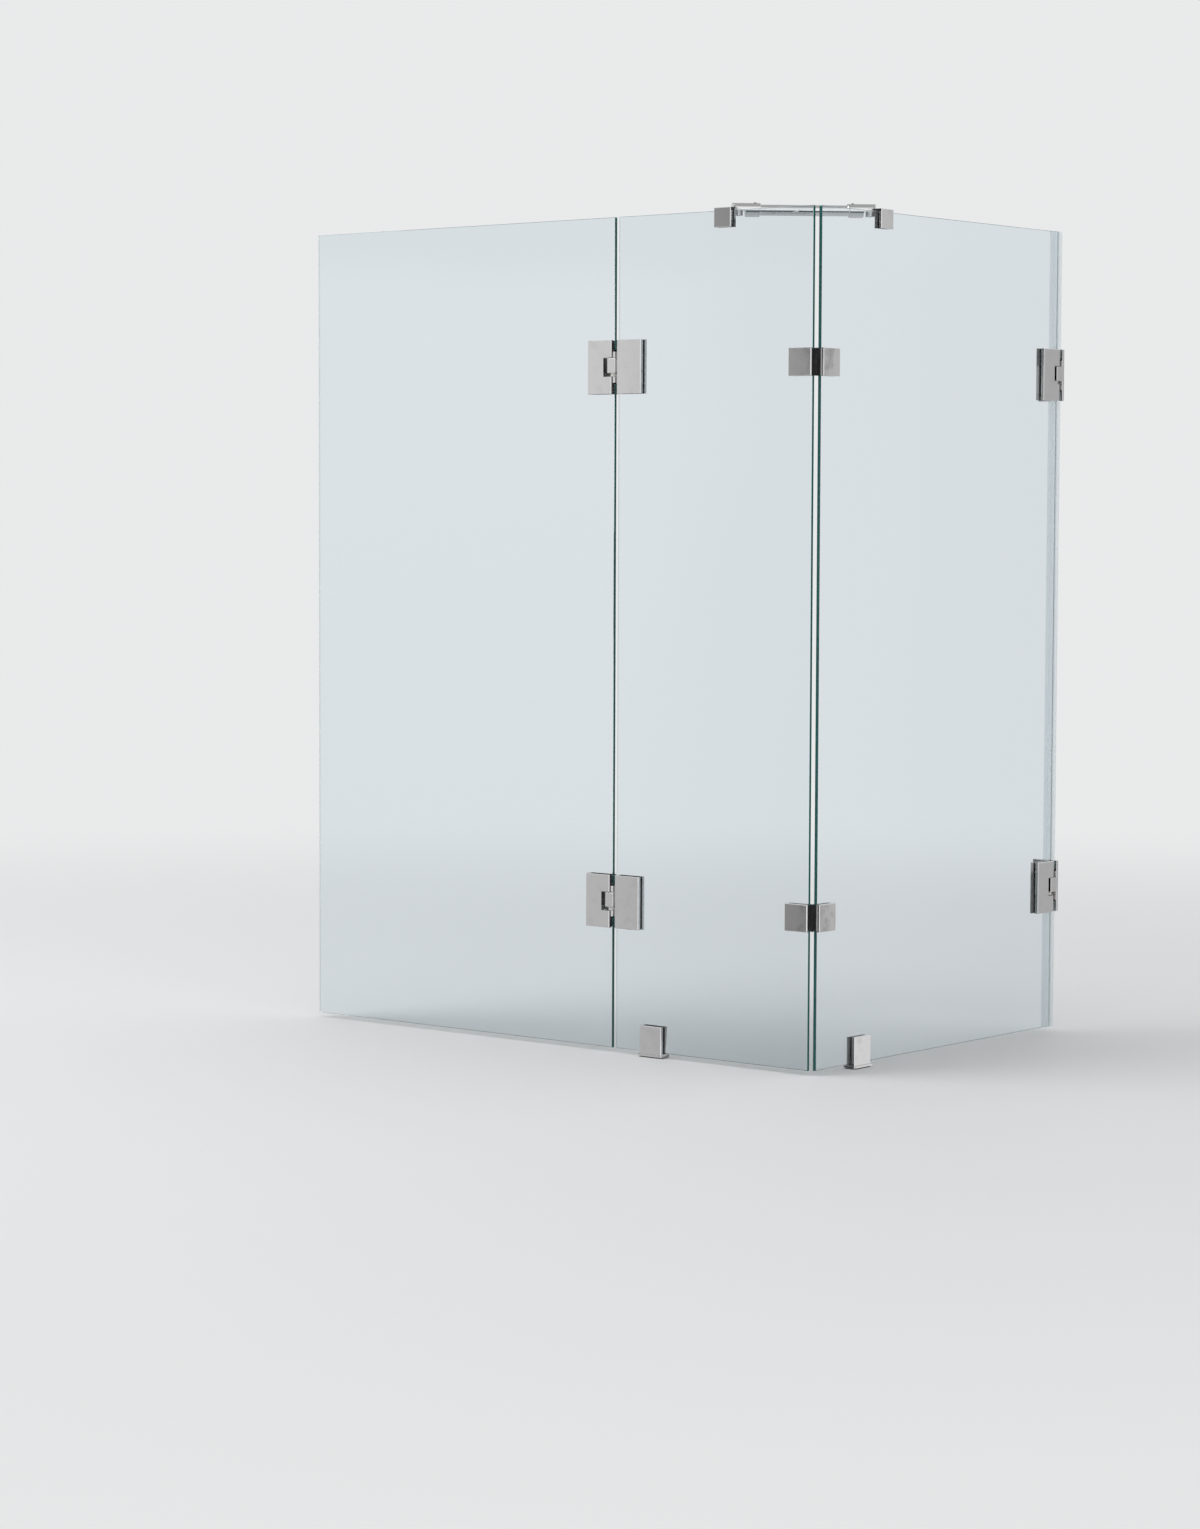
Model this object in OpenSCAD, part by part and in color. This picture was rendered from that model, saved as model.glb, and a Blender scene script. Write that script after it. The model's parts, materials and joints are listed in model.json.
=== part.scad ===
// Folding bath screen: a swinging leaf on a middle pane, and a return pane that swings from the wall.
// Millimetres, +Z up. The origin lies on the wall face, below the wall hinges' axis, level with the
// bath rim. The return pane runs from the wall towards -Y, the middle pane and the leaf towards -X.
// The dry side is +X of the return pane and -Y of the other two.

/* [Glass] */
// Height of the three panes
glass_h = 1400; // [1100:10:1600]
// Width of the swinging leaf
leaf_w = 686; // [400:1:900]
// Width of the middle pane
middle_w = 402; // [320:1:600]
// Width of the return pane
return_w = 703; // [450:1:900]
// Thickness of the glass
glass_t = 6; // [5:0.5:8]
// Air gap between the leaf and the middle pane
leaf_gap = 8; // [7:0.5:14]
// Distance from the outer corner line to the nearest edge of each pane
corner_setback = 10; // [8:0.5:16]
// Flat ground along every glass edge
glass_arris = 0.6; // [0.3:0.1:1]

/* [Hinges] */
// Distance of the hinges and corner connectors from the glass ends
fitting_end_distance = 250; // [150:5:400]
// Height of the clamp plates
plate_h = 90; // [80:1:120]
// Width of the clamp plates
plate_w = 51; // [48:1:70]
// Thickness of the clamp plates
plate_t = 6; // [5:0.5:7]
// Bevel round the face of every plate
plate_bevel = 0.8; // [0.4:0.1:1.2]
// Thickness of the rubber between metal and glass
gasket_t = 1; // [0.8:0.1:1.5]
// Distance that the clamp plates stay back from the glass edge
plate_setback = 2; // [1:0.5:4]
// Distance of the hinge axis inside the edge of the swinging plates
axis_inset = 2; // [1:0.5:4]
// Height of the knuckle
knuckle_h = 25; // [20:1:29]
// Length of the knuckle past the axis, into the notch
knuckle_nose = 7; // [6.5:0.5:9]
// Length of the recessed neck between knuckle and clamp
neck_l = 3.7; // [2:0.1:4.5]
// Height of the notch that the knuckle sits in
notch_h = 32; // [30:1:40]
// Free space between the turning knuckle's corner and the end of the notch
notch_clear = 2.8; // [1:0.1:4]
// Diameter of the hinge pin
pin_d = 7; // [5:0.5:8]
// Diameter of the bosses that hold the pin's ends
boss_d = 12; // [11:0.5:14]
// Height of the bosses
boss_h = 10; // [7:0.5:13]
// Wall of the nylon bushes
bush_wall = 1; // [0.8:0.1:1.3]
// Thickness of the nylon washer that carries the swinging clamp
washer_t = 1; // [0.6:0.1:1.5]

/* [Wall plates] */
// Thickness of the wall plates
wall_plate_t = 5; // [4:0.5:8]
// Diameter of the wall screw holes
wall_hole_d = 5.5; // [4.5:0.5:6.5]
// Distance between the wall screw holes, along the wall
wall_hole_dx = 18; // [14:1:30]
// Distance between the wall screw holes, up the wall
wall_hole_dz = 60; // [40:1:64]
// Metal left round the outer wall screw holes
wall_hole_margin = 8; // [7:0.5:12]

/* [Corner connectors] */
// Height and width of the corner connectors' plates
corner_plate = 45; // [36:1:60]
// Distance that these plates stand past the glass edge
corner_overhang = 2; // [0:0.5:2.5]
// Diameter of the boss that goes through the glass
corner_boss_d = 10; // [9:0.5:14]

/* [Rim clamps] */
// Width of the clamp blocks
foot_w = 46; // [36:1:60]
// Height of the clamp blocks
foot_h = 48; // [36:1:60]
// Metal left under the glass in the block's slot
foot_floor_t = 2; // [1.5:0.5:4]
// Thickness of the base flange
flange_t = 1.5; // [1:0.1:3]
// Distance that the flange stands out round the block
flange_out = 2.5; // [1:0.5:5]
// Thickness of the rubber pad on the rim
pad_t = 3.5; // [2:0.5:6]
// Distance from the middle pane's free edge to the clamp's centre
foot_from_leaf = 80; // [40:1:150]
// Distance from the return pane's corner edge to the clamp's centre
foot_from_corner = 122; // [60:1:200]

/* [Corner brace] */
// Distance from the corner to the clamp on the middle pane
brace_middle_reach = 187; // [150:1:240]
// Distance from the corner to the clamp on the return pane
brace_return_reach = 181; // [150:1:240]
// Diameter of the tube
tube_d = 18; // [14:0.5:19]
// Wall of the tube
tube_wall = 1.5; // [1:0.1:2.5]
// Diameter of the end sleeves
sleeve_d = 23; // [22:0.5:28]
// Length of the end sleeves, from their round nose to their mouth
sleeve_l = 47.5; // [47.5:0.5:70]
// Length of tube inside each sleeve
tube_insert = 20; // [12:1:20]
// Height of the tube's axis above the glass
bar_rise = 1.5; // [0:0.5:2]
// Width of the glass clamps
brace_clamp_w = 34; // [28:1:46]
// Height of the glass clamps
brace_clamp_h = 32; // [28:1:46]
// Thickness of the glass clamps' jaws
brace_jaw_t = 5; // [4:0.5:8]
// Metal of the glass clamps above the glass
brace_cap_t = 3.5; // [2.5:0.5:6]

/* [Wall seal] */
// Length of the seal's legs on the glass
seal_leg = 20; // [10:1:30]
// Wall of the seal
seal_wall = 1; // [0.7:0.1:1.4]

/* [Screws] */
// Diameter of the clamp screws
screw_d = 5; // [4:0.5:6]
// Diameter of the grub screws
grub_d = 5; // [4:0.5:6]

/* [Hidden] */
$fn = 64;

OUTER = -1;                 // dry side of a pane, in the pane's own frame
INNER = 1;                  // wet side of a pane
pin_fit = 0.05;             // radial clearance of the pin and of the bushes
screw_fit = 0.15;           // clearance round a screw
slide_fit = 0.1;            // clearance of pieces that are pushed together
swing_clear = 0.5;          // least distance that a swinging corner keeps
axial_clear = 0.1;          // play above the knuckle's washer
collar_clear = 0.5;         // play under the nylon collar
sheet_inset = 1;            // rubber sheets stay this far inside their plates
cut_through = 1;            // how far a cutting shape runs past what it cuts
weld = 0.01;                // overlap of shapes that fuse into one piece

// Across the glass: the rubber, then the metal
grip_y = glass_t / 2 + gasket_t;
half_t = grip_y + plate_t;

// Heights
rim_gap = pad_t + flange_t + foot_floor_t + gasket_t;
glass_top = rim_gap + glass_h;
lower_z = rim_gap + fitting_end_distance;
upper_z = glass_top - fitting_end_distance;

// Plan of a hinge in its own frame: axis at the origin, swinging side towards -x, fixed side +x
swing_radius = norm([axis_inset, half_t]);
knuckle_radius = norm([knuckle_nose, half_t]);
notch_end = knuckle_radius + notch_clear;
screw_from_notch = 7;
screw_from_back = 6;
screw_x = notch_end + screw_from_notch;
core_back = screw_x + screw_from_back;
core_h = notch_h + 2 * boss_h;
core_clear = 2;
edge_x = axis_inset + plate_setback;
cut_x = core_back + core_clear;
cut_h = core_h + 2 * core_clear;
cut_r = 5;
fixed_glass_x = edge_x + leaf_gap;
fixed_x = fixed_glass_x + plate_setback;
fixed_screw_x = fixed_x + axis_inset + screw_x;
fixed_core_x = fixed_x + axis_inset + core_back;
fixed_cut_x = fixed_core_x + core_clear;
knuckle_top = notch_h / 2 - washer_t;
knuckle_bottom = knuckle_top - knuckle_h;
collar_h = notch_h / 2 + knuckle_bottom - collar_clear;
bush_l = 10;
bush_r = pin_d / 2 + pin_fit + bush_wall;
bush_rim_r = bush_r + 1.15;
neck_step = 1.5;
screw_from_ear = 2;
screw_dz = notch_h / 2 + screw_from_ear;

// Plan of the whole screen
wall_front = ceil(swing_radius + swing_clear);
wall_axis_y = -(wall_front + wall_plate_t);
wall_plate_reach = half_t + 2 * wall_hole_margin + wall_hole_dx;
pane_start = corner_setback - glass_t / 2;
return_end = pane_start + return_w;
corner_y = wall_axis_y + edge_x - return_end;
middle_end = pane_start + middle_w;
leaf_start = middle_end + leaf_gap;
leaf_axis_x = -(leaf_start + edge_x);

// Corner connectors
corner_start = pane_start - corner_overhang;
corner_end = corner_start + corner_plate;
corner_mid = (corner_start + corner_end) / 2;
corner_hole_clear = 1.5;
corner_hole_d = corner_boss_d + 2 * corner_hole_clear;

// Rim clamps, with their centres in the panes' own frames
middle_foot_x = -(middle_end - foot_from_leaf);
return_foot_x = pane_start + foot_from_corner;
foot_bottom = pad_t + flange_t;
foot_top = foot_bottom + foot_h;
foot_screw_dx = foot_w / 4;
foot_screw_z = foot_top - 18;
flange_r = 2.5;
pad_inset = 0.5;

// Corner brace
brace_half = grip_y + brace_jaw_t;
brace_top = glass_top + gasket_t + brace_cap_t;
brace_bottom = brace_top - brace_clamp_h;
bar_z = glass_top + bar_rise;
nose_r = sleeve_d / 2 + 0.5;
swivel_clear = 0.5;
tongue_drop = 1.5;
swivel_z = bar_z - tongue_drop;
lug_d = 16;
lug_t = 8;
lug_web = 10;
swivel_y = brace_half + nose_r + swivel_clear;
swivel_inset = brace_clamp_w / 2 - plate_bevel - lug_web / 2;
bar_a = [swivel_inset - brace_middle_reach, swivel_y];
bar_b = [-swivel_y, brace_return_reach - swivel_inset];
bar_l = norm(bar_b - bar_a);
bar_angle = atan2(bar_b.y - bar_a.y, bar_b.x - bar_a.x);
mouth_s = sleeve_l - nose_r;
tongue_l = nose_r;
sleeve_bore_spare = 2;
sleeve_floor = 1.5;
tube_in = min(tube_insert, mouth_s - tongue_l - sleeve_floor - sleeve_bore_spare);
sleeve_bore_l = tube_in + sleeve_bore_spare;
set_screw_from_mouth = 9;
set_screw_s = mouth_s - set_screw_from_mouth;
set_screw_proud = 0.7;
swivel_l = 6;
clamp_screw_drop = 17;
clamp_screw_z = glass_top - clamp_screw_drop;

// Wall seal
seal_stop_clear = 1;
wall_touch = 0.3;
bulb_sink = 0.4;

// Countersunk screws with a hexagon socket
head_d = 2 * screw_d;
head_h = (head_d - screw_d) / 2;
head_sink = 0.2;
socket_d = 0.65 * screw_d;
socket_h = 0.45 * screw_d;
blind_floor = 2;
clamp_screw_l = 2 * half_t - blind_floor;
grub_socket_d = grub_d / 2;
grub_socket_h = 0.4 * grub_d;

CHROME = [0.78, 0.79, 0.80];
STEEL = [0.62, 0.63, 0.64];
CLEAR_GLASS = [0.74, 0.87, 0.86, 0.35];
RUBBER = [0.10, 0.10, 0.11];
NYLON = [0.93, 0.93, 0.90];
CLEAR_PVC = [0.86, 0.90, 0.92, 0.6];

// ---- Frames: each places its children ----

// Middle pane and leaf: x = 0 at the corner, panes towards -x, dry side -y
module on_front() {
    translate([0, corner_y, 0]) children();
}

// Return pane: x = 0 at the corner, pane towards +x, dry side -y
module on_return() {
    translate([0, corner_y, 0]) rotate([0, 0, 90]) children();
}

// Leaf hinge: axis at the origin, leaf towards -x
module at_leaf_hinge(z) {
    translate([leaf_axis_x, corner_y, z]) children();
}

// Wall hinge: axis at the origin, return pane towards -x, wall towards +x
module at_wall_hinge(z) {
    translate([0, wall_axis_y, z]) rotate([0, 0, 90]) children();
}

// A screw's place on the wet face: z = 0 on the face, -z into the metal
module from_wet_face(x, y, z) {
    translate([x, y, z]) rotate([-90, 0, 0]) children();
}

// Brace: x along the bar from one swivel, z up
module from_swivel(from, angle) {
    translate([from.x, from.y, 0]) rotate([0, 0, angle]) children();
}

// Brace: z along the bar's axis from one swivel
module along_bar(from, angle) {
    from_swivel(from, angle) translate([0, 0, bar_z]) rotate([0, 90, 0]) children();
}

// ---- Shared shapes ----

// Block with every edge along x and along z bevelled
module bevel_block(x0, x1, y0, y1, z0, z1, b) {
    intersection() {
        translate([0, 0, z0]) linear_extrude(z1 - z0) polygon([
            [x0 + b, y0], [x1 - b, y0], [x1, y0 + b], [x1, y1 - b],
            [x1 - b, y1], [x0 + b, y1], [x0, y1 - b], [x0, y0 + b]]);
        translate([x0, 0, 0]) rotate([90, 0, 90]) linear_extrude(x1 - x0) polygon([
            [y0 + b, z0], [y1 - b, z0], [y1, z0 + b], [y1, z1 - b],
            [y1 - b, z1], [y0 + b, z1], [y0, z1 - b], [y0, z0 + b]]);
    }
}

// Plate on one side of the glass, bevelled round its face only
module faced_plate(x0, x1, z0, z1, side) {
    b = plate_bevel;
    intersection() {
        translate([0, 0, z0]) linear_extrude(z1 - z0) polygon([
            [x0, side * grip_y], [x0, side * (half_t - b)], [x0 + b, side * half_t],
            [x1 - b, side * half_t], [x1, side * (half_t - b)], [x1, side * grip_y]]);
        translate([x0, 0, 0]) rotate([90, 0, 90]) linear_extrude(x1 - x0) polygon([
            [side * grip_y, z0], [side * (half_t - b), z0], [side * half_t, z0 + b],
            [side * half_t, z1 - b], [side * (half_t - b), z1], [side * grip_y, z1]]);
    }
}

// Upright block across the glass, of the given half thickness
module slab(x0, x1, half, z0, z1) {
    translate([x0, -half, z0]) cube([x1 - x0, 2 * half, z1 - z0]);
}

// Flat outline with round corners
module round_rect(w, d, r) {
    square([w - 2 * r, d], center = true);
    square([w, d - 2 * r], center = true);
    for (x = [-1, 1], y = [-1, 1]) translate([x * (w / 2 - r), y * (d / 2 - r)]) circle(r);
}

// Pair of rubber sheets on the two faces of a pane
module sheet_pair(x0, x1, z0, z1) {
    for (side = [OUTER, INNER]) {
        translate([x0, side > 0 ? glass_t / 2 : -grip_y, z0]) cube([x1 - x0, gasket_t, z1 - z0]);
    }
}

// Countersunk screw, its face just under z = 0
module flat_screw(l) {
    difference() {
        union() {
            translate([0, 0, -head_sink - head_h]) cylinder(h = head_h, d1 = screw_d, d2 = head_d);
            translate([0, 0, -l]) cylinder(h = l - head_sink - head_h + weld, d = screw_d);
        }
        translate([0, 0, -head_sink - socket_h]) cylinder(h = socket_h + cut_through, d = socket_d, $fn = 6);
    }
}

// Hole for that screw
module flat_screw_hole(l) {
    shank_d = screw_d + 2 * screw_fit;
    rim_d = head_d + 2 * screw_fit;
    translate([0, 0, -head_sink - head_h]) cylinder(h = head_h, d1 = shank_d, d2 = rim_d);
    translate([0, 0, -head_sink - weld]) cylinder(h = head_sink + cut_through, d = rim_d);
    translate([0, 0, -l - screw_fit]) cylinder(h = l, d = shank_d);
}

// Headless screw from z = 0 down, with a hexagon socket on top
module grub_screw(l) {
    difference() {
        translate([0, 0, -l]) cylinder(h = l, d = grub_d);
        translate([0, 0, -grub_socket_h])
            cylinder(h = grub_socket_h + cut_through, d = grub_socket_d, $fn = 6);
    }
}

// ---- Hinge parts, in the hinge's own frame ----

// The four screw axes of a clamp, on the wet face
module at_clamp_screws(x) {
    for (s = [-1, 1]) from_wet_face(x, half_t, s * screw_dz) children();
}

// Room for the knuckle, cut from everything that swings
module notch() {
    slab(-notch_end, axis_inset + boss_d, half_t + cut_through, -notch_h / 2, notch_h / 2);
}

// Opening ground into a pane's edge for the hinge core; dir points into the pane
module pane_cutout(edge, back) {
    w = abs(edge - back) + cut_r;
    rotate([90, 0, 0]) linear_extrude(glass_t + 2 * gasket_t, center = true)
        translate([edge < back ? back - w / 2 : back + w / 2, 0]) round_rect(w, cut_h, cut_r);
}

module swinging_plate(side) {
    difference() {
        faced_plate(axis_inset - plate_w, axis_inset, -plate_h / 2, plate_h / 2, side);
        notch();
        for (s = [-1, 1]) translate([0, 0, s * (notch_h + boss_h) / 2])
            cylinder(h = boss_h + 2 * slide_fit, d = boss_d + 2 * slide_fit, center = true);
        at_clamp_screws(-screw_x) flat_screw_hole(clamp_screw_l);
    }
}

module fixed_plate(side) {
    difference() {
        faced_plate(fixed_x, fixed_x + plate_w, -plate_h / 2, plate_h / 2, side);
        at_clamp_screws(fixed_screw_x) flat_screw_hole(clamp_screw_l);
    }
}

module hinge_core() {
    difference() {
        union() {
            slab(-core_back, axis_inset, grip_y, -core_h / 2, core_h / 2);
            cylinder(h = core_h, d = boss_d, center = true);
        }
        notch();
        cylinder(h = core_h + 2 * cut_through, d = pin_d + 2 * pin_fit, center = true);
        at_clamp_screws(-screw_x) flat_screw_hole(clamp_screw_l);
    }
}

module knuckle_bore() {
    cylinder(h = core_h, r = bush_r + pin_fit, center = true);
}

module leaf_knuckle_body() {
    difference() {
        union() {
            bevel_block(-knuckle_nose, fixed_x - neck_l, -half_t, half_t,
                knuckle_bottom, knuckle_top, plate_bevel);
            slab(0, fixed_core_x, grip_y, knuckle_bottom + neck_step, knuckle_top - neck_step);
            slab(fixed_x, fixed_core_x, grip_y, -core_h / 2, core_h / 2);
        }
        knuckle_bore();
        at_clamp_screws(fixed_screw_x) flat_screw_hole(clamp_screw_l);
    }
}

// Plate against the wall, flat on the wall side, reaching further on the wet side for its screws
module wall_plate() {
    back = wall_front + wall_plate_t;
    intersection() {
        bevel_block(wall_front, back + plate_bevel, -half_t, wall_plate_reach,
            -plate_h / 2, plate_h / 2, plate_bevel);
        translate([wall_front, -half_t, -plate_h / 2])
            cube([wall_plate_t, half_t + wall_plate_reach, plate_h]);
    }
}

// Wall plate with its knuckle in one piece
module wall_bracket_body() {
    first_hole = half_t + wall_hole_margin;
    difference() {
        union() {
            bevel_block(-knuckle_nose, wall_front + plate_bevel, -half_t, half_t,
                knuckle_bottom, knuckle_top, plate_bevel);
            wall_plate();
        }
        knuckle_bore();
        for (dy = [0, wall_hole_dx], s = [-1, 1])
            translate([wall_front, first_hole + dy, s * wall_hole_dz / 2]) rotate([0, 90, 0]) {
                translate([0, 0, -cut_through])
                    cylinder(h = wall_plate_t + 2 * cut_through, d = wall_hole_d);
                cylinder(h = wall_hole_d / 2, d1 = 2 * wall_hole_d, d2 = wall_hole_d);
            }
    }
}

// Flanged nylon bushes, pressed into the knuckle from above and from below
module bush_pair() {
    r_in = bush_r - bush_wall;
    washer_top = knuckle_top + washer_t - axial_clear;
    collar_end = knuckle_bottom - collar_h;
    rotate_extrude() polygon([
        [r_in, knuckle_top - bush_l], [bush_r, knuckle_top - bush_l], [bush_r, knuckle_top],
        [bush_rim_r, knuckle_top], [bush_rim_r, washer_top], [r_in, washer_top]]);
    rotate_extrude() polygon([
        [r_in, knuckle_bottom + bush_l], [bush_r, knuckle_bottom + bush_l], [bush_r, knuckle_bottom],
        [bush_rim_r, knuckle_bottom], [bush_rim_r, collar_end], [r_in, collar_end]]);
}

module hinge_pin_body() {
    cylinder(h = core_h, d = pin_d, center = true);
}

// Rubber between the clamp plates and the glass, open round the core
module swinging_gaskets() {
    difference() {
        sheet_pair(axis_inset - plate_w + sheet_inset, axis_inset - sheet_inset,
            sheet_inset - plate_h / 2, plate_h / 2 - sheet_inset);
        slab(-cut_x, axis_inset, half_t, -cut_h / 2, cut_h / 2);
    }
}

module fixed_gaskets() {
    difference() {
        sheet_pair(fixed_x + sheet_inset, fixed_x + plate_w - sheet_inset,
            sheet_inset - plate_h / 2, plate_h / 2 - sheet_inset);
        slab(fixed_x, fixed_cut_x, half_t, -cut_h / 2, cut_h / 2);
    }
}

// ---- Glass ----

module pane(x0, x1) {
    bevel_block(x0, x1, -glass_t / 2, glass_t / 2, rim_gap, glass_top, glass_arris);
}

// Hole through a pane for a corner connector's boss
module corner_hole(x) {
    for (z = [lower_z, upper_z]) translate([x, 0, z]) rotate([90, 0, 0])
        cylinder(h = glass_t + 2 * cut_through, d = corner_hole_d, center = true);
}

module leaf_glass() {
    color(CLEAR_GLASS) difference() {
        on_front() pane(-leaf_start - leaf_w, -leaf_start);
        for (z = [lower_z, upper_z]) at_leaf_hinge(z) pane_cutout(edge_x, -cut_x);
    }
}

module middle_glass() {
    color(CLEAR_GLASS) difference() {
        on_front() pane(-middle_end, -pane_start);
        for (z = [lower_z, upper_z]) at_leaf_hinge(z) pane_cutout(fixed_glass_x, fixed_cut_x);
        on_front() corner_hole(-corner_mid);
    }
}

module return_glass() {
    color(CLEAR_GLASS) difference() {
        on_return() pane(pane_start, return_end);
        for (z = [lower_z, upper_z]) at_wall_hinge(z) pane_cutout(edge_x, -cut_x);
        on_return() corner_hole(corner_mid);
    }
}

// ---- Leaf hinges ----

module leaf_plate(z, side) {
    color(CHROME) at_leaf_hinge(z) swinging_plate(side);
}

module middle_plate(z, side) {
    color(CHROME) at_leaf_hinge(z) fixed_plate(side);
}

module leaf_core(z) {
    color(CHROME) at_leaf_hinge(z) hinge_core();
}

module leaf_knuckle(z) {
    color(CHROME) at_leaf_hinge(z) leaf_knuckle_body();
}

module leaf_pin(z) {
    color(STEEL) at_leaf_hinge(z) hinge_pin_body();
}

module leaf_hinge_bushes() {
    color(NYLON) for (z = [lower_z, upper_z]) at_leaf_hinge(z) bush_pair();
}

module leaf_hinge_gaskets() {
    color(RUBBER) for (z = [lower_z, upper_z]) at_leaf_hinge(z) swinging_gaskets();
}

module middle_hinge_gaskets() {
    color(RUBBER) for (z = [lower_z, upper_z]) at_leaf_hinge(z) fixed_gaskets();
}

module leaf_hinge_screws() {
    color(STEEL) for (z = [lower_z, upper_z])
        at_leaf_hinge(z) at_clamp_screws(-screw_x) flat_screw(clamp_screw_l);
}

module middle_hinge_screws() {
    color(STEEL) for (z = [lower_z, upper_z])
        at_leaf_hinge(z) at_clamp_screws(fixed_screw_x) flat_screw(clamp_screw_l);
}

// ---- Wall hinges ----

module return_plate(z, side) {
    color(CHROME) at_wall_hinge(z) swinging_plate(side);
}

module return_core(z) {
    color(CHROME) at_wall_hinge(z) hinge_core();
}

module wall_bracket(z) {
    color(CHROME) at_wall_hinge(z) wall_bracket_body();
}

module return_pin(z) {
    color(STEEL) at_wall_hinge(z) hinge_pin_body();
}

module return_hinge_bushes() {
    color(NYLON) for (z = [lower_z, upper_z]) at_wall_hinge(z) bush_pair();
}

module return_hinge_gaskets() {
    color(RUBBER) for (z = [lower_z, upper_z]) at_wall_hinge(z) swinging_gaskets();
}

module return_hinge_screws() {
    color(STEEL) for (z = [lower_z, upper_z])
        at_wall_hinge(z) at_clamp_screws(-screw_x) flat_screw(clamp_screw_l);
}

// ---- Corner connectors ----

// Square plate on the dry side, with the threaded boss that goes through the glass
module corner_plate_body(x0, x1) {
    mid = (x0 + x1) / 2;
    difference() {
        union() {
            faced_plate(x0, x1, -corner_plate / 2, corner_plate / 2, OUTER);
            translate([mid, -grip_y - plate_t / 2, 0]) rotate([-90, 0, 0])
                cylinder(h = plate_t / 2 + 2 * grip_y - slide_fit, d = corner_boss_d);
        }
        from_wet_face(mid, half_t, 0) flat_screw_hole(clamp_screw_l);
    }
}

module corner_middle_plate(z) {
    color(CHROME) on_front() translate([0, 0, z]) corner_plate_body(-corner_end, -corner_start);
}

module corner_return_plate(z) {
    color(CHROME) on_return() translate([0, 0, z]) corner_plate_body(corner_start, corner_end);
}

// Angle on the wet side that holds both panes
module corner_bracket(z) {
    half = corner_plate / 2;
    color(CHROME) translate([0, 0, z]) difference() {
        union() {
            on_front() faced_plate(-corner_end, -grip_y, -half, half, INNER);
            on_return() faced_plate(grip_y, corner_end, -half, half, INNER);
        }
        on_front() from_wet_face(-corner_mid, half_t, 0) flat_screw_hole(clamp_screw_l);
        on_return() from_wet_face(corner_mid, half_t, 0) flat_screw_hole(clamp_screw_l);
    }
}

module corner_gaskets() {
    half = corner_plate / 2 - sheet_inset;
    color(RUBBER) for (z = [lower_z, upper_z]) translate([0, 0, z]) {
        on_front() difference() {
            sheet_pair(sheet_inset - corner_end, -pane_start - sheet_inset, -half, half);
            translate([-corner_mid, 0, 0]) rotate([90, 0, 0])
                cylinder(h = 2 * half_t, d = corner_hole_d, center = true);
        }
        on_return() difference() {
            sheet_pair(pane_start + sheet_inset, corner_end - sheet_inset, -half, half);
            translate([corner_mid, 0, 0]) rotate([90, 0, 0])
                cylinder(h = 2 * half_t, d = corner_hole_d, center = true);
        }
    }
}

module corner_screws() {
    color(STEEL) for (z = [lower_z, upper_z]) {
        on_front() from_wet_face(-corner_mid, half_t, z) flat_screw(clamp_screw_l);
        on_return() from_wet_face(corner_mid, half_t, z) flat_screw(clamp_screw_l);
    }
}

// ---- Rim clamps ----

module foot_body(x) {
    w = foot_w / 2;
    translate([x, 0, 0]) difference() {
        union() {
            bevel_block(-w, w, -half_t, half_t, foot_bottom - plate_bevel, foot_top, plate_bevel);
            translate([0, 0, pad_t]) linear_extrude(flange_t)
                round_rect(foot_w + 2 * flange_out, 2 * (half_t + flange_out), flange_r);
        }
        slab(-w - cut_through, w + cut_through, grip_y, rim_gap - gasket_t, foot_top + cut_through);
        for (s = [-1, 1]) from_wet_face(s * foot_screw_dx, half_t + cut_through, foot_screw_z)
            translate([0, 0, -plate_t - 2 * cut_through])
                cylinder(h = plate_t + 3 * cut_through, d = grub_d + 2 * screw_fit);
    }
}

module foot_pad(x) {
    translate([x, 0, 0]) linear_extrude(pad_t) round_rect(
        foot_w + 2 * (flange_out - pad_inset), 2 * (half_t + flange_out - pad_inset), flange_r - pad_inset);
}

// Rubber liner in the slot: two cheeks and the strip under the glass
module foot_liner(x) {
    w = foot_w / 2 - sheet_inset;
    translate([x, 0, 0]) {
        sheet_pair(-w, w, rim_gap - gasket_t, foot_top - sheet_inset);
        slab(-w, w, glass_t / 2 + weld, rim_gap - gasket_t, rim_gap);
    }
}

module foot_grubs(x) {
    for (s = [-1, 1]) from_wet_face(x + s * foot_screw_dx, half_t - head_sink, foot_screw_z)
        grub_screw(plate_t - head_sink);
}

module middle_foot_body() {
    color(CHROME) on_front() foot_body(middle_foot_x);
}

module return_foot_body() {
    color(CHROME) on_return() foot_body(return_foot_x);
}

module middle_foot_pad() {
    color(RUBBER) on_front() foot_pad(middle_foot_x);
}

module return_foot_pad() {
    color(RUBBER) on_return() foot_pad(return_foot_x);
}

module foot_gaskets() {
    color(RUBBER) {
        on_front() foot_liner(middle_foot_x);
        on_return() foot_liner(return_foot_x);
    }
}

module foot_screws() {
    color(STEEL) {
        on_front() foot_grubs(middle_foot_x);
        on_return() foot_grubs(return_foot_x);
    }
}

// ---- Corner brace ----

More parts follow.
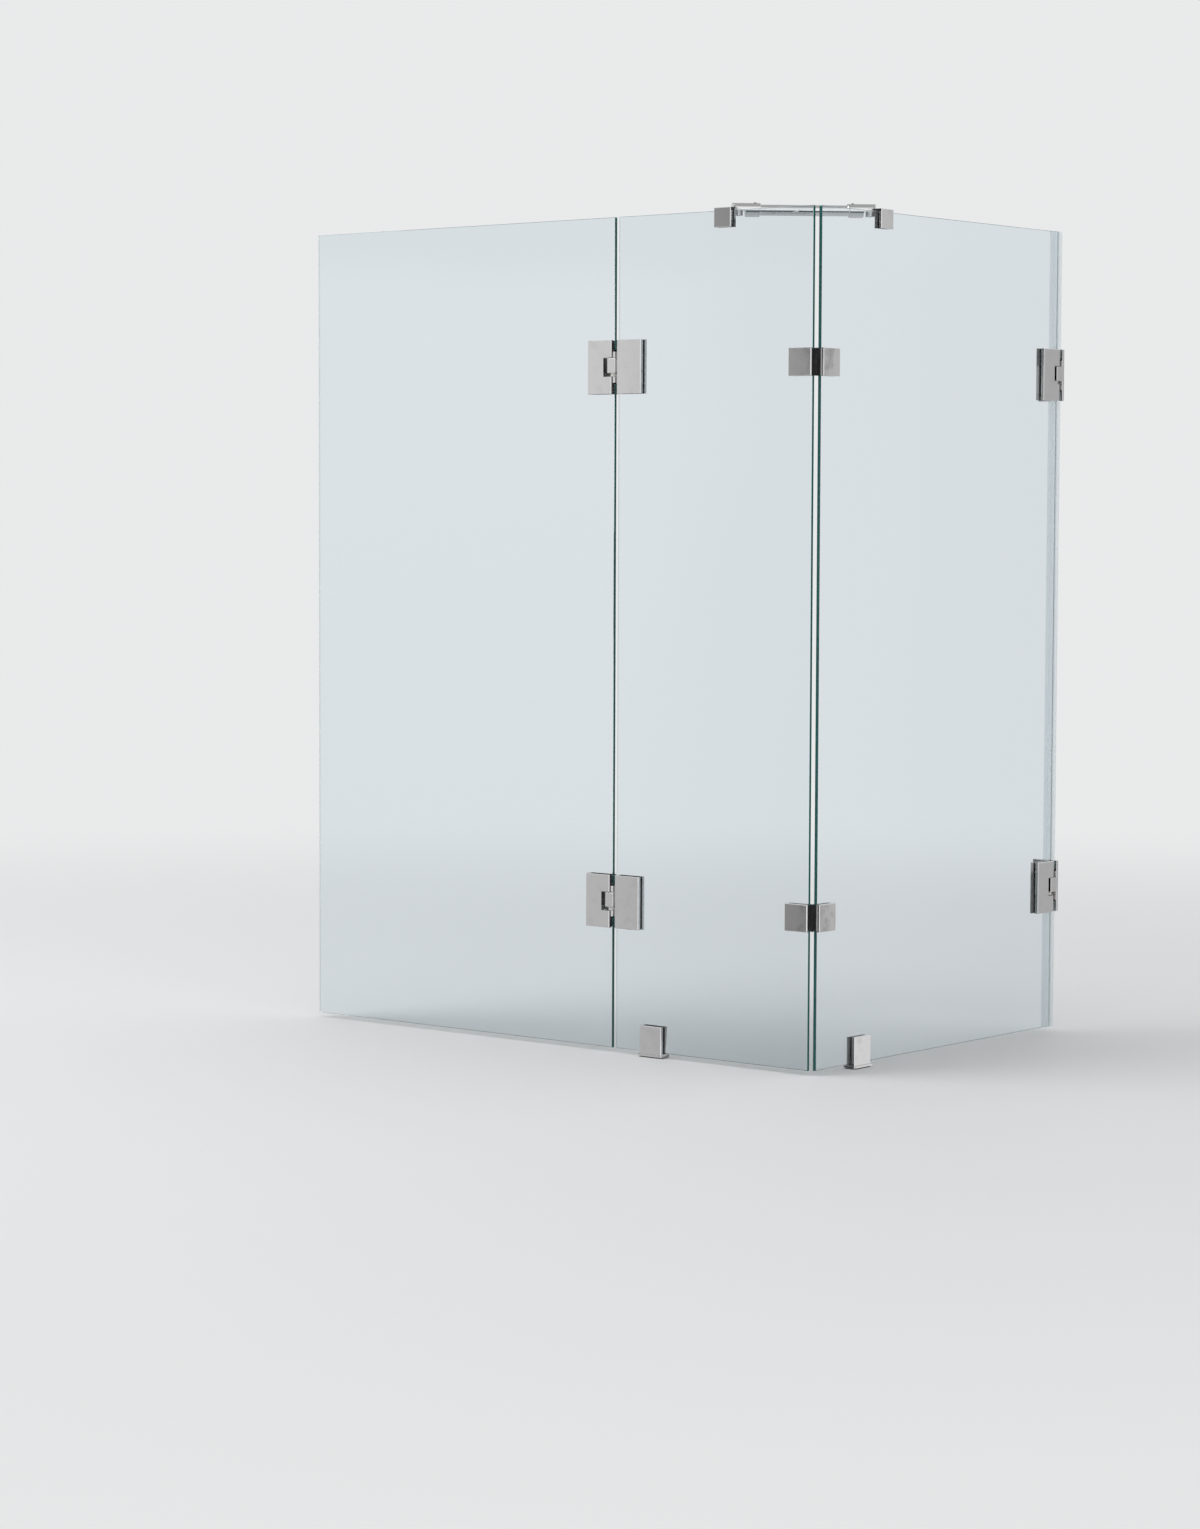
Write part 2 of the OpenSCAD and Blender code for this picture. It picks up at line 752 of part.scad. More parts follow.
// Saddle over the top edge of a pane, with a lug behind it for the sleeve; the swivel is at x + swivel
module brace_clamp_body(x, swivel) {
    w = brace_clamp_w / 2;
    translate([x, 0, 0]) difference() {
        union() {
            bevel_block(-w, w, -brace_half, brace_half, brace_bottom, brace_top, plate_bevel);
            translate([swivel, 0, swivel_z - lug_t]) {
                translate([0, swivel_y, 0]) cylinder(h = lug_t, d = lug_d);
                translate([-lug_web / 2, brace_half - weld, 0])
                    cube([lug_web, swivel_y - brace_half + weld, lug_t]);
            }
        }
        slab(-w - cut_through, w + cut_through, grip_y, brace_bottom - cut_through, glass_top + gasket_t);
        translate([swivel, swivel_y, swivel_z - lug_t]) rotate([180, 0, 0])
            flat_screw_hole(lug_t + cut_through);
        from_wet_face(0, brace_half, clamp_screw_z) translate([0, 0, -brace_jaw_t - cut_through])
            cylinder(h = brace_jaw_t + 2 * cut_through, d = grub_d + 2 * screw_fit);
    }
}

// Swivel screw up through the lug into the sleeve, and the grub screw that grips the glass
module brace_clamp_screws(x, swivel) {
    translate([x + swivel, swivel_y, swivel_z - lug_t]) rotate([180, 0, 0]) flat_screw(lug_t + swivel_l);
    from_wet_face(x, brace_half - head_sink, clamp_screw_z) grub_screw(brace_jaw_t - head_sink);
}

// Rubber liner in the saddle: two cheeks and the strip on the glass edge
module brace_liner(x) {
    w = brace_clamp_w / 2 - sheet_inset;
    translate([x, 0, 0]) {
        sheet_pair(-w, w, brace_bottom + sheet_inset, glass_top + gasket_t);
        slab(-w, w, glass_t / 2 + weld, glass_top, glass_top + gasket_t);
    }
}

// Sleeve at one end of the bar: round nose about the swivel, tongue over the lug, bore for the tube
module brace_sleeve(from, angle) {
    r = sleeve_d / 2;
    b = plate_bevel;
    difference() {
        along_bar(from, angle) {
            translate([0, 0, -2 * r]) cylinder(h = 2 * r + mouth_s - b, r = r);
            translate([0, 0, mouth_s - b - weld]) cylinder(h = b + weld, r1 = r, r2 = r - b);
        }
        along_bar(from, angle) translate([0, 0, mouth_s - sleeve_bore_l])
            cylinder(h = sleeve_bore_l + cut_through, d = tube_d + 2 * slide_fit);
        from_swivel(from, angle) {
            difference() {
                translate([-3 * r, -2 * r, bar_z - 2 * r]) cube([3 * r, 4 * r, 4 * r]);
                translate([0, 0, bar_z - 3 * r]) cylinder(h = 6 * r, r = nose_r);
            }
            rotate([90, 0, 0]) linear_extrude(4 * r, center = true) polygon([
                [-3 * r, swivel_z], [tongue_l, swivel_z], [tongue_l, bar_z - r + b],
                [tongue_l + b + cut_through, bar_z - r - cut_through], [-3 * r, bar_z - r - cut_through]]);
            translate([0, 0, swivel_z - cut_through])
                cylinder(h = cut_through + swivel_l + screw_fit, d = screw_d + 2 * screw_fit);
            translate([set_screw_s, 0, bar_z]) cylinder(h = 2 * r, d = grub_d + 2 * screw_fit);
        }
    }
}

module set_screw(from, angle) {
    from_swivel(from, angle) translate([set_screw_s, 0, bar_z + sleeve_d / 2 + set_screw_proud])
        grub_screw((sleeve_d - tube_d) / 2 + set_screw_proud);
}

module middle_brace_sleeve() {
    color(CHROME) on_front() brace_sleeve(bar_a, bar_angle);
}

module return_brace_sleeve() {
    color(CHROME) on_front() brace_sleeve(bar_b, bar_angle + 180);
}

module brace_tube() {
    start = mouth_s - tube_in;
    color(CHROME) on_front() along_bar(bar_a, bar_angle) translate([0, 0, start]) difference() {
        cylinder(h = bar_l - 2 * start, d = tube_d);
        translate([0, 0, -cut_through]) cylinder(h = bar_l, d = tube_d - 2 * tube_wall);
    }
}

module middle_brace_clamp() {
    color(CHROME) on_front() brace_clamp_body(-brace_middle_reach, swivel_inset);
}

module return_brace_clamp() {
    color(CHROME) on_return() brace_clamp_body(brace_return_reach, -swivel_inset);
}

module brace_gaskets() {
    color(RUBBER) {
        on_front() brace_liner(-brace_middle_reach);
        on_return() brace_liner(brace_return_reach);
    }
}

module brace_screws() {
    color(STEEL) {
        on_front() brace_clamp_screws(-brace_middle_reach, swivel_inset);
        on_return() brace_clamp_screws(brace_return_reach, -swivel_inset);
        on_front() set_screw(bar_a, bar_angle);
        on_front() set_screw(bar_b, bar_angle + 180);
    }
}

// ---- Wall seal ----

// Push-on channel with a hollow bulb towards the wall
module seal_outline() {
    inner = glass_t / 2 + pin_fit;
    web = return_end + pin_fit;
    bulb_end = -corner_y - wall_touch;
    bulb_start = web + seal_wall - bulb_sink;
    bulb_r = (bulb_end - bulb_start) / 2;
    for (side = [-1, 1]) translate([return_end - seal_leg, side > 0 ? inner : -inner - seal_wall])
        square([seal_leg + pin_fit + seal_wall, seal_wall]);
    translate([web, -inner - seal_wall]) square([seal_wall, 2 * (inner + seal_wall)]);
    translate([bulb_start + bulb_r, 0]) difference() {
        circle(bulb_r);
        circle(bulb_r - seal_wall);
    }
}

// Three lengths, interrupted by the hinges
module wall_seal() {
    stop = plate_h / 2 + seal_stop_clear;
    spans = [[rim_gap, lower_z - stop], [lower_z + stop, upper_z - stop], [upper_z + stop, glass_top]];
    color(CLEAR_PVC) on_return() for (span = spans)
        translate([0, 0, span[0]]) linear_extrude(span[1] - span[0]) seal_outline();
}

// ---- Assembly ----

wall_bracket(upper_z);  // upper_wall_bracket
wall_bracket(lower_z);  // lower_wall_bracket
return_hinge_bushes();

return_glass();
middle_glass();
return_plate(upper_z, OUTER);  // upper_return_outer_plate
return_plate(upper_z, INNER);  // upper_return_inner_plate
return_core(upper_z);  // upper_return_core
return_pin(upper_z);  // upper_return_pin
return_plate(lower_z, OUTER);  // lower_return_outer_plate
return_plate(lower_z, INNER);  // lower_return_inner_plate
return_core(lower_z);  // lower_return_core
return_pin(lower_z);  // lower_return_pin
return_hinge_gaskets();
return_hinge_screws();

middle_plate(upper_z, OUTER);  // upper_middle_outer_plate
middle_plate(upper_z, INNER);  // upper_middle_inner_plate
leaf_knuckle(upper_z);  // upper_leaf_knuckle
middle_plate(lower_z, OUTER);  // lower_middle_outer_plate
middle_plate(lower_z, INNER);  // lower_middle_inner_plate
leaf_knuckle(lower_z);  // lower_leaf_knuckle
middle_hinge_gaskets();
middle_hinge_screws();
leaf_hinge_bushes();

corner_middle_plate(upper_z);  // upper_corner_middle_plate
corner_return_plate(upper_z);  // upper_corner_return_plate
corner_bracket(upper_z);  // upper_corner_bracket
corner_middle_plate(lower_z);  // lower_corner_middle_plate
corner_return_plate(lower_z);  // lower_corner_return_plate
corner_bracket(lower_z);  // lower_corner_bracket
corner_gaskets();
corner_screws();

middle_foot_body();
return_foot_body();
middle_foot_pad();
return_foot_pad();
foot_gaskets();
foot_screws();

brace_tube();
middle_brace_sleeve();
return_brace_sleeve();
middle_brace_clamp();
return_brace_clamp();
brace_gaskets();
brace_screws();
wall_seal();

leaf_glass();
leaf_plate(upper_z, OUTER);  // upper_leaf_outer_plate
leaf_plate(upper_z, INNER);  // upper_leaf_inner_plate
leaf_core(upper_z);  // upper_leaf_core
leaf_pin(upper_z);  // upper_leaf_pin
leaf_plate(lower_z, OUTER);  // lower_leaf_outer_plate
leaf_plate(lower_z, INNER);  // lower_leaf_inner_plate
leaf_core(lower_z);  // lower_leaf_core
leaf_pin(lower_z);  // lower_leaf_pin
leaf_hinge_gaskets();
leaf_hinge_screws();
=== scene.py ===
"""Folding bath screen: finishes, small fittings, studio and camera round the fixed frame."""
import json
import math

import bmesh
import bpy
import numpy as np
from mathutils import Matrix, Vector


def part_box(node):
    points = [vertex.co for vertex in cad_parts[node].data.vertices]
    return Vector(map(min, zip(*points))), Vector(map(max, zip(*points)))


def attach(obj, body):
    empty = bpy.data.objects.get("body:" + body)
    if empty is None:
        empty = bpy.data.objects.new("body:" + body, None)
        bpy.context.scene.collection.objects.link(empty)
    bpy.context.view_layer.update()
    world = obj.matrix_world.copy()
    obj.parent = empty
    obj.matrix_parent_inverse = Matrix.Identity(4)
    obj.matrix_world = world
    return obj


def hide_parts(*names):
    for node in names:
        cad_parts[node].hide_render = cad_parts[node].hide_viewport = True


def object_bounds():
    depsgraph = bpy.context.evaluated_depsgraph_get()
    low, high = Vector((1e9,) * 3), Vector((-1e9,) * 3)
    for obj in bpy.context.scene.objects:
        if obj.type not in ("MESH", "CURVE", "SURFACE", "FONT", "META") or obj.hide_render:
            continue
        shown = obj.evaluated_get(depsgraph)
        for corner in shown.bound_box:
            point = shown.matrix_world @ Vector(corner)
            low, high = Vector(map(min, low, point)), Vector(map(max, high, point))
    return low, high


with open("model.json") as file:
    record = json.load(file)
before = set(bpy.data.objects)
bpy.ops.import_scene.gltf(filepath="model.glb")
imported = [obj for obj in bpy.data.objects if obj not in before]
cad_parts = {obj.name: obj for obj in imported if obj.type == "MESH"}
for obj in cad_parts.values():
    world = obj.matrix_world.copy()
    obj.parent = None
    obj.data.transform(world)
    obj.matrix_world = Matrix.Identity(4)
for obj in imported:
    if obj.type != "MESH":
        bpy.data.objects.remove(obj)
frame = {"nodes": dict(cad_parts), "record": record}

bl_info = {
    "name": "Folding bath screen",
    "version": (1, 0, 0),
    "blender": (4, 5, 0),
    "location": "View3D > Sidebar > Bath screen",
    "description": "Finishes a folding glass bath screen and sets up its studio",
    "category": "Object",
}

MM = 0.001
TAU = 2 * math.pi
EDGE_DEGREES = 25
CAD_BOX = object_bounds()
BODY_OF = {
    node: body
    for body, nodes in frame["record"]["behaviour"]["bodies"].items()
    for node in nodes
}
SLOT_OF = {part["node"]: part["material_slot"] for part in frame["record"]["subparts"]}


# ---- Shader expressions ----

class Val:
    """One shader socket. Arithmetic on it adds Math nodes to its tree."""

    def __init__(self, recipe, socket):
        self.recipe = recipe
        self.socket = socket

    def math(self, operation, *others):
        return self.recipe.node(
            "ShaderNodeMath", {"operation": operation}, dict(enumerate((self, *others))))

    def __add__(self, other):
        return self.math("ADD", other)

    def __sub__(self, other):
        return self.math("SUBTRACT", other)

    def __rsub__(self, other):
        return self.recipe.node("ShaderNodeMath", {"operation": "SUBTRACT"}, {0: other, 1: self})

    def __mul__(self, other):
        return self.math("MULTIPLY", other)

    def __pow__(self, other):
        return self.math("POWER", other)

    def __gt__(self, other):
        return self.math("GREATER_THAN", other)

    def __abs__(self):
        return self.math("ABSOLUTE")

    __radd__ = __add__
    __rmul__ = __mul__

    def higher(self, other):
        return self.math("MAXIMUM", other)

    def step(self, low, high):
        """0 below low, 1 above high, and a smooth rise between them."""
        return self.recipe.node(
            "ShaderNodeMapRange", {"interpolation_type": "SMOOTHSTEP"},
            {"Value": self, "From Min": low, "From Max": high})

    def band(self, low, high, soft):
        """1 between low and high, 0 outside, and a smooth change within soft of each."""
        return self.step(low - soft, low + soft) * (1 - self.step(high - soft, high + soft))


class Recipe:
    """The nodes of one material or world."""

    def __init__(self, owner):
        owner.use_nodes = True
        self.tree = owner.node_tree
        self.tree.nodes.clear()

    def node(self, kind, settings=None, inputs=None, out=0):
        """Adds a node: its settings first, then values or links by socket name or number."""
        made = self.tree.nodes.new(kind)
        for key, value in (settings or {}).items():
            setattr(made, key, value)
        for key, value in (inputs or {}).items():
            if isinstance(value, Val):
                self.tree.links.new(value.socket, made.inputs[key])
            else:
                made.inputs[key].default_value = value
        return Val(self, made.outputs[out])

    def blend(self, factor, first, second):
        """Colour between first, at factor 0, and second, at 1."""
        return self.node(
            "ShaderNodeMix", {"data_type": "RGBA"}, {0: factor, 6: first, 7: second}, out=2)

    def mix(self, factor, first, second):
        """Surface between first, at factor 0, and second, at 1."""
        return self.node("ShaderNodeMixShader", None, {0: factor, 1: first, 2: second})

    def surface(self, **inputs):
        """A principled surface. A name's underscores stand for the spaces of the socket's name."""
        return self.node("ShaderNodeBsdfPrincipled", None, {
            name.replace("_", " "): value for name, value in inputs.items()})

    def noise(self, where, per_metre, detail=2.0):
        """Cloudy value from 0 to 1, with about per_metre clouds to a metre."""
        return self.node("ShaderNodeTexNoise", None, {
            "Vector": where, "Scale": per_metre, "Detail": detail})

    def bump(self, height, distance):
        return self.node("ShaderNodeBump", None, {"Height": height, "Distance": distance})

    def place(self):
        """Object coordinates, in metres in the frame."""
        return self.node("ShaderNodeTexCoord", out="Object")

    def split(self, vector):
        """The x, y and z of a vector."""
        made = self.node("ShaderNodeSeparateXYZ", None, {0: vector})
        return [Val(self, out) for out in made.socket.node.outputs]

    def output(self, surface, kind="ShaderNodeOutputMaterial"):
        made = self.tree.nodes.new(kind)
        self.tree.links.new(surface.socket, made.inputs["Surface"])


def rgba(colour, tone=1.0):
    """A colour, made lighter or darker by a factor, with full cover."""
    return (*(tone * part for part in colour[:3]), 1.0)


def new_material(name):
    material = bpy.data.materials.new(name)
    return material, Recipe(material)


# ---- Finishes ----

def glass_finish(name, style, low, high):
    """Clear toughened glass. Ground edges, where the distance from the pane's middle plane is
    under half its thickness less the arris, carry the green of a long way through the glass. The
    top edges and the edge at the wall carry a painted highlight: they are painted paler where they
    catch the light. The left ends of the leaf and the middle pane carry the same painted highlight,
    and there most of the edge is drawn as clear glass that doesn't bend the light, so that the
    background shows straight through as a bright line."""
    arris, edge_depth, fade = 0.6 * MM, 1 * MM, 0.5 * MM
    # Where the painted highlight along the wall edge begins and where it is full
    wall_fade, wall_end = -40 * MM, -36 * MM
    # How much a highlighted edge hides behind its painted highlight, and how much of a left end is
    # the clear highlight surface
    highlight_share, end_highlight_share = 0.9, 0.72
    glass_ior = 1.52
    material, r = new_material(name)
    where = r.place()
    x, y, z = r.split(where)
    across = min((0, 1), key=lambda i: high[i] - low[i])
    half_t = (high[across] - low[across]) / 2
    off_plane = abs((x, y)[across] - (high[across] + low[across]) / 2)
    edge = 1 - off_plane.step(half_t - arris, half_t - 0.3 * arris)
    # pale marks the painted highlight: the top edges and the wall edge are painted paler where they
    # catch the light
    pale = z.step(high[2] - edge_depth - fade, high[2] - edge_depth)
    pale = pale.higher(y.step(wall_fade, wall_end))
    faces_front = across == 1
    if faces_front:
        # The left end of a pane that faces front gets the same painted highlight
        end = 1 - x.step(low[0] + edge_depth, low[0] + edge_depth + fade)
        pale = pale.higher(end)
    roll_wave = r.noise(where, 3, detail=0)
    wiped = r.noise(where, 9, detail=3).step(0.52, 0.8)
    body = r.surface(
        Base_Color=r.blend(edge, rgba(style.glass_tint), rgba(style.edge_tint)),
        Roughness=wiped * 0.012, IOR=glass_ior, Transmission_Weight=1.0,
        Normal=r.bump(roll_wave, 0.6 * MM))
    frosted = r.noise(where, 900)
    ground = r.blend(frosted, rgba(style.edge_deep), rgba(style.edge_tint))
    # Edge surface: its own green where ground, and the painted highlight tone where pale
    rim = r.surface(
        Base_Color=r.blend(pale, ground, rgba(style.edge_highlight)),
        Roughness=0.12 + frosted * 0.1, IOR=glass_ior)
    cover = style.edge_share + pale * (highlight_share - style.edge_share)
    pane = r.mix(edge * cover, body, rim)
    if faces_front:
        # Painted highlight on the left end: a clear surface that doesn't bend the light, so the
        # background shows through it as a bright line
        clear_end_highlight = r.surface(
            Base_Color=rgba(style.end_highlight_tint), Roughness=0.0, IOR=1.0, Transmission_Weight=1.0)
        pane = r.mix(edge * end * end_highlight_share, pane, clear_end_highlight)
    r.output(pane)
    return material


def chrome_finish(name, colour, roughness):
    """Polished metal: a faint cast of the polishing wheel, wipe marks and a trace of ripple."""
    material, r = new_material(name)
    where = r.place()
    wiped = r.noise(where, 60, detail=4).step(0.45, 0.75)
    polish = r.noise(where, 1400, detail=1)
    ripple = r.noise(where, 35, detail=0)
    r.output(r.surface(
        Base_Color=r.blend(wiped * 0.6, rgba(colour), rgba(colour, 0.93)),
        Metallic=1.0, Roughness=roughness + wiped * 0.03 + polish * 0.02,
        Normal=r.bump(ripple, 0.02 * MM)))
    return material


def turned_steel_finish(name, colour):
    """Steel with the fine rings of the lathe, which follow the distance along the skin."""
    material, r = new_material(name)
    u, v, _ = r.split(r.node("ShaderNodeUVMap", {"uv_map": "along_round"}))
    along = r.node("ShaderNodeCombineXYZ", None, {0: u, 1: v * 0.0002})
    rings = r.noise(along, 9000)
    worn = r.noise(r.place(), 300).step(0.5, 0.75)
    r.output(r.surface(
        Base_Color=r.blend(worn, rgba(colour), rgba(colour, 0.8)),
        Metallic=1.0, Roughness=0.16 + rings * 0.12 + worn * 0.08,
        Normal=r.bump(rings, 0.02 * MM)))
    return material


def rubber_finish(name, colour):
    """Moulded rubber: fine grain and a paler bloom in cloudy patches."""
    material, r = new_material(name)
    where = r.place()
    bloom = r.noise(where, 120, detail=3).step(0.5, 0.8)
    grain = r.noise(where, 3000, detail=1)
    pale = [part + 0.03 for part in colour]
    r.output(r.surface(
        Base_Color=r.blend(bloom, rgba(colour), rgba(pale)),
        Roughness=0.55 + grain * 0.15, Normal=r.bump(grain, 0.03 * MM)))
    return material


def nylon_finish(name, colour):
    """White nylon: slightly uneven tone and a soft sheen."""
    material, r = new_material(name)
    cloud = r.noise(r.place(), 200)
    r.output(r.surface(
        Base_Color=r.blend(cloud, rgba(colour), rgba(colour, 0.9)),
        Roughness=0.3 + cloud * 0.1, Subsurface_Weight=0.2, Subsurface_Scale=1 * MM))
    return material


def clear_pvc_finish(name, colour):
    """Clear soft PVC: faint die lines along its length, and a thin milky skin over what lies
    behind."""
    clear_tint, least_skin, more_at_glance = (0.97, 0.98, 0.985), 0.05, 0.35
    material, r = new_material(name)
    x, y, z = r.split(r.place())
    across = r.node("ShaderNodeCombineXYZ", None, {0: x, 1: y, 2: z * 0.01})
    die_lines = r.noise(across, 1500, detail=1)
    skin = r.surface(
        Base_Color=rgba(colour), Roughness=0.15 + die_lines * 0.15,
        Normal=r.bump(die_lines, 0.05 * MM))
    clear = r.node("ShaderNodeBsdfTransparent", None, {"Color": rgba(clear_tint)})
    glance = r.node("ShaderNodeLayerWeight", None, {"Blend": 0.3}, out="Facing")
    r.output(r.mix(least_skin + glance * more_at_glance, clear, skin))
    return material


def assign(node, material):
    """Gives a CAD node one material."""
    for slot in frame["nodes"][node].material_slots:
        slot.material = material


def in_slot(slot):
    """Names of the nodes that the record gives this material slot."""
    return [node for node, own in SLOT_OF.items() if own == slot]


# ---- Shapes ----

def boxed(points):
    return points.min(axis=0), points.max(axis=0)


def node_solids(node):
    """The vertices of each solid of a CAD node, in metres in the frame. Vertices at one place, to
    a thousandth of a millimetre, get one label, and the lowest label of each triangle spreads
    over it until nothing changes."""
    mesh = frame["nodes"][node].data
    points = np.empty(3 * len(mesh.vertices))
    mesh.vertices.foreach_get("co", points)
    points = points.reshape(-1, 3)
    corners = np.empty(len(mesh.loops), dtype=int)
    mesh.loops.foreach_get("vertex_index", corners)
    places = np.round(points * 1e6).astype(int)
    same = np.unique(places, axis=0, return_inverse=True)[1].reshape(-1)
    triangles = same[corners].reshape(-1, 3)
    label = np.arange(same.max() + 1)
    while True:
        lowest = label[triangles].min(axis=1)
        spread = label.copy()
        for corner in triangles.T:
            np.minimum.at(spread, corner, lowest)
        if (spread == label).all():
            break
        label = spread
    owner = label[same]
    return [points[owner == k] for k in np.unique(owner)]


def around(count):
    """Angles of points spaced evenly round a circle."""
    return np.arange(count) * TAU / count


def on_circle(angle):
    """Points at these angles on a circle of radius 1."""
    return np.column_stack([np.cos(angle), np.sin(angle)])


def lifted(flat, z):
    """The points of a flat outline at height z."""
    return np.column_stack([flat, np.full(len(flat), z)])


def pipe(inner, outer, start, end):
    """Size and place of each ring of a pipe, out of its bore, along its outside and back in."""
    return (inner, start), (outer, start), (outer, end), (inner, end), (inner, start)


def loft(rings):
    """Skin over closed rings, an array of ring, point and coordinate: a quad joins two neighbours
    of a ring to the next ring, and a flat face closes each end. Returns points, then the faces
    in arrays of quads and of each end, then for each corner of each face how far along the skin
    and how far round it that corner lies."""
    rows, count = rings.shape[:2]
    i, j = np.meshgrid(np.arange(rows - 1), np.arange(count), indexing="ij")
    here, there, after = i * count, (i + 1) * count, (j + 1) % count
    quads = np.stack([here + j, here + after, there + after, there + j], axis=-1).reshape(-1, 4)
    first = np.arange(count)[None]
    faces = [quads, first[:, ::-1], first + (rows - 1) * count]
    step = np.linalg.norm(np.diff(rings, axis=0), axis=2).mean(axis=1)
    along = np.concatenate([[0], np.cumsum(step)])
    u = np.stack([along[i], along[i], along[i + 1], along[i + 1]], axis=-1)
    v = np.stack([j, j + 1, j + 1, j], axis=-1) / count
    uv = [np.stack([u, v], axis=-1).reshape(-1, 4, 2)]
    uv += [np.tile((end, 0.0), (1, count, 1)) for end in (along[0], along[-1])]
    return rings.reshape(-1, 3), faces, uv


def prism(flat, low, high):
    """Skin over a flat outline that is carried up from low to high."""
    return loft(np.stack([lifted(flat, low), lifted(flat, high)]))


def hoop(rings):
    """Skin over closed rings whose last is the first again, so that it needs no ends."""
    points, faces, uv = loft(rings)
    last = (rings.shape[0] - 1) * rings.shape[1]
    return points[:last], [faces[0] % last], uv[:1]


def turned(profile, outline):
    """Skin turned about z. A row of the profile gives a ring's radius and height, and how far it
    goes from a circle, at 0, to an outline of radius 1 at its flats, at 1."""
    angle = around(48)
    radius, height, share = (column[:, None] for column in profile.T)
    radius = radius * (1 + share * (outline(angle) - 1))
    height = np.repeat(height, len(angle), axis=1)
    return loft(np.stack([radius * np.cos(angle), radius * np.sin(angle), height], axis=-1))


def hexagon(angle):
    """Radius of a hexagon whose flats are 1 from its middle: 1 over the cosine of the angle from
    the nearest flat."""
    half = math.pi / 6
    return 1 / np.cos((angle + half) % (2 * half) - half)


def screw_rings(head_r, shank_r, length):
    """Profile, as turned takes it, of a screw whose face lies at height 0 and whose tip points
    down: a hexagon socket, the face, a countersink and the shank. A grub screw, whose head_r
    equals shank_r, has no countersink."""
    cone = head_r - shank_r
    flat = (0.28 if cone > 0 else 0.44) * head_r
    deep, ease, tip = 0.9 * shank_r, 0.06 * head_r, 0.5 * MM
    socket = [
        (0.25 * flat, -deep - 0.35 * flat, 0), (0.9 * flat, -deep, 1), (flat, -deep + 0.1 * MM, 1),
        (flat, -0.22 * MM, 1), (1.12 * flat, -0.05 * MM, 1), (1.2 * flat, 0, 0.9)]
    face = [
        (1.45 * flat, 0, 0), (head_r - ease, 0, 0), (head_r - 0.3 * ease, -0.3 * ease, 0),
        (head_r, -ease, 0)]
    countersink = [
        (head_r, -1.6 * ease, 0), (shank_r + ease, -cone - 0.6 * ease, 0),
        (shank_r, -cone - 2 * ease, 0)]
    shank = [(shank_r, -length + tip, 0), (shank_r - tip, -length, 0), (0.2 * shank_r, -length, 0)]
    return np.array(socket + face + (countersink if cone > 0 else []) + shank)


def aimed(points, place, out):
    """Points turned so that z points along out, and moved to a place."""
    turn = np.array(Vector(out).to_track_quat("Z", "Y").to_matrix())
    return points @ turn.T + place


def outward(points, faces, uv):
    """Faces turned round as a whole if the volume that they enclose comes out negative."""
    volume = 0.0
    for corners in faces:
        fan = np.cross(points[corners[:, 1:-1]], points[corners[:, 2:]])
        volume += np.einsum("ij,ikj->", points[corners[:, 0]], fan)
    if volume < 0:
        faces = [part[:, ::-1] for part in faces]
        uv = [part[:, ::-1] for part in uv]
    return points, faces, uv


def piece(name, skins, body, slot, material, *nodes, smooth=35):
    """Makes one mesh of several skins, lets it ride on a body and stand for CAD nodes."""
    skins = [outward(*skin) for skin in skins]
    starts = np.cumsum([0] + [len(points) for points, _, _ in skins])
    faces = []
    for (_, parts, _), start in zip(skins, starts):
        for part in parts:
            faces += (part + start).tolist()
    mesh = bpy.data.meshes.new(name)
    mesh.from_pydata(np.concatenate([points for points, _, _ in skins]).tolist(), [], faces)
    layer = mesh.uv_layers.new(name="along_round")
    layer.data.foreach_set("uv", np.concatenate([part.ravel() for *_, uv in skins for part in uv]))
    return settle(bpy.data.objects.new(name, mesh), body, material, nodes, smooth)


def settle(obj, body, material, nodes, smooth):
    """Puts a piece in the scene, with edges sharper than smooth degrees left sharp."""
    bpy.context.collection.objects.link(obj)
    obj.data.shade_smooth()
    obj.data.set_sharp_from_angle(angle=math.radians(smooth))
    obj.data.materials.clear()
    obj.data.materials.append(material)
    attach(obj, body)
    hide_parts(*nodes)
    return obj


def eased(node, width, material, segments=3):
    """A CAD node with its edges rounded: a copy, merged, then bevelled."""
    merged = 0.002 * MM
    mesh = frame["nodes"][node].data.copy()
    mesh.name = f"{node}_eased"
    work = bmesh.new()
    work.from_mesh(mesh)
    bmesh.ops.remove_doubles(work, verts=work.verts, dist=merged)
    work.to_mesh(mesh)
    work.free()
    obj = bpy.data.objects.new(f"{node}_eased", mesh)
    settle(obj, BODY_OF[node], material, (node,), EDGE_DEGREES)
    round_edges(obj, width, segments)


def round_edges(obj, width, segments=3):
    """Rounds every edge sharper than EDGE_DEGREES, and keeps the flats between them flat to the
    light."""
    bevel = obj.modifiers.new("ease", "BEVEL")
    bevel.width = width
    bevel.segments = segments
    bevel.limit_method = "ANGLE"
    bevel.angle_limit = math.radians(EDGE_DEGREES)
    bevel.face_strength_mode = "FSTR_ALL"
    flats = obj.modifiers.new("flats", "WEIGHTED_NORMAL")
    flats.use_face_influence = True


# ---- Settings ----

def colour_property(name, description, default):
    return bpy.props.FloatVectorProperty(
        name=name, description=description, default=default, subtype="COLOR", size=3, min=0, max=1)


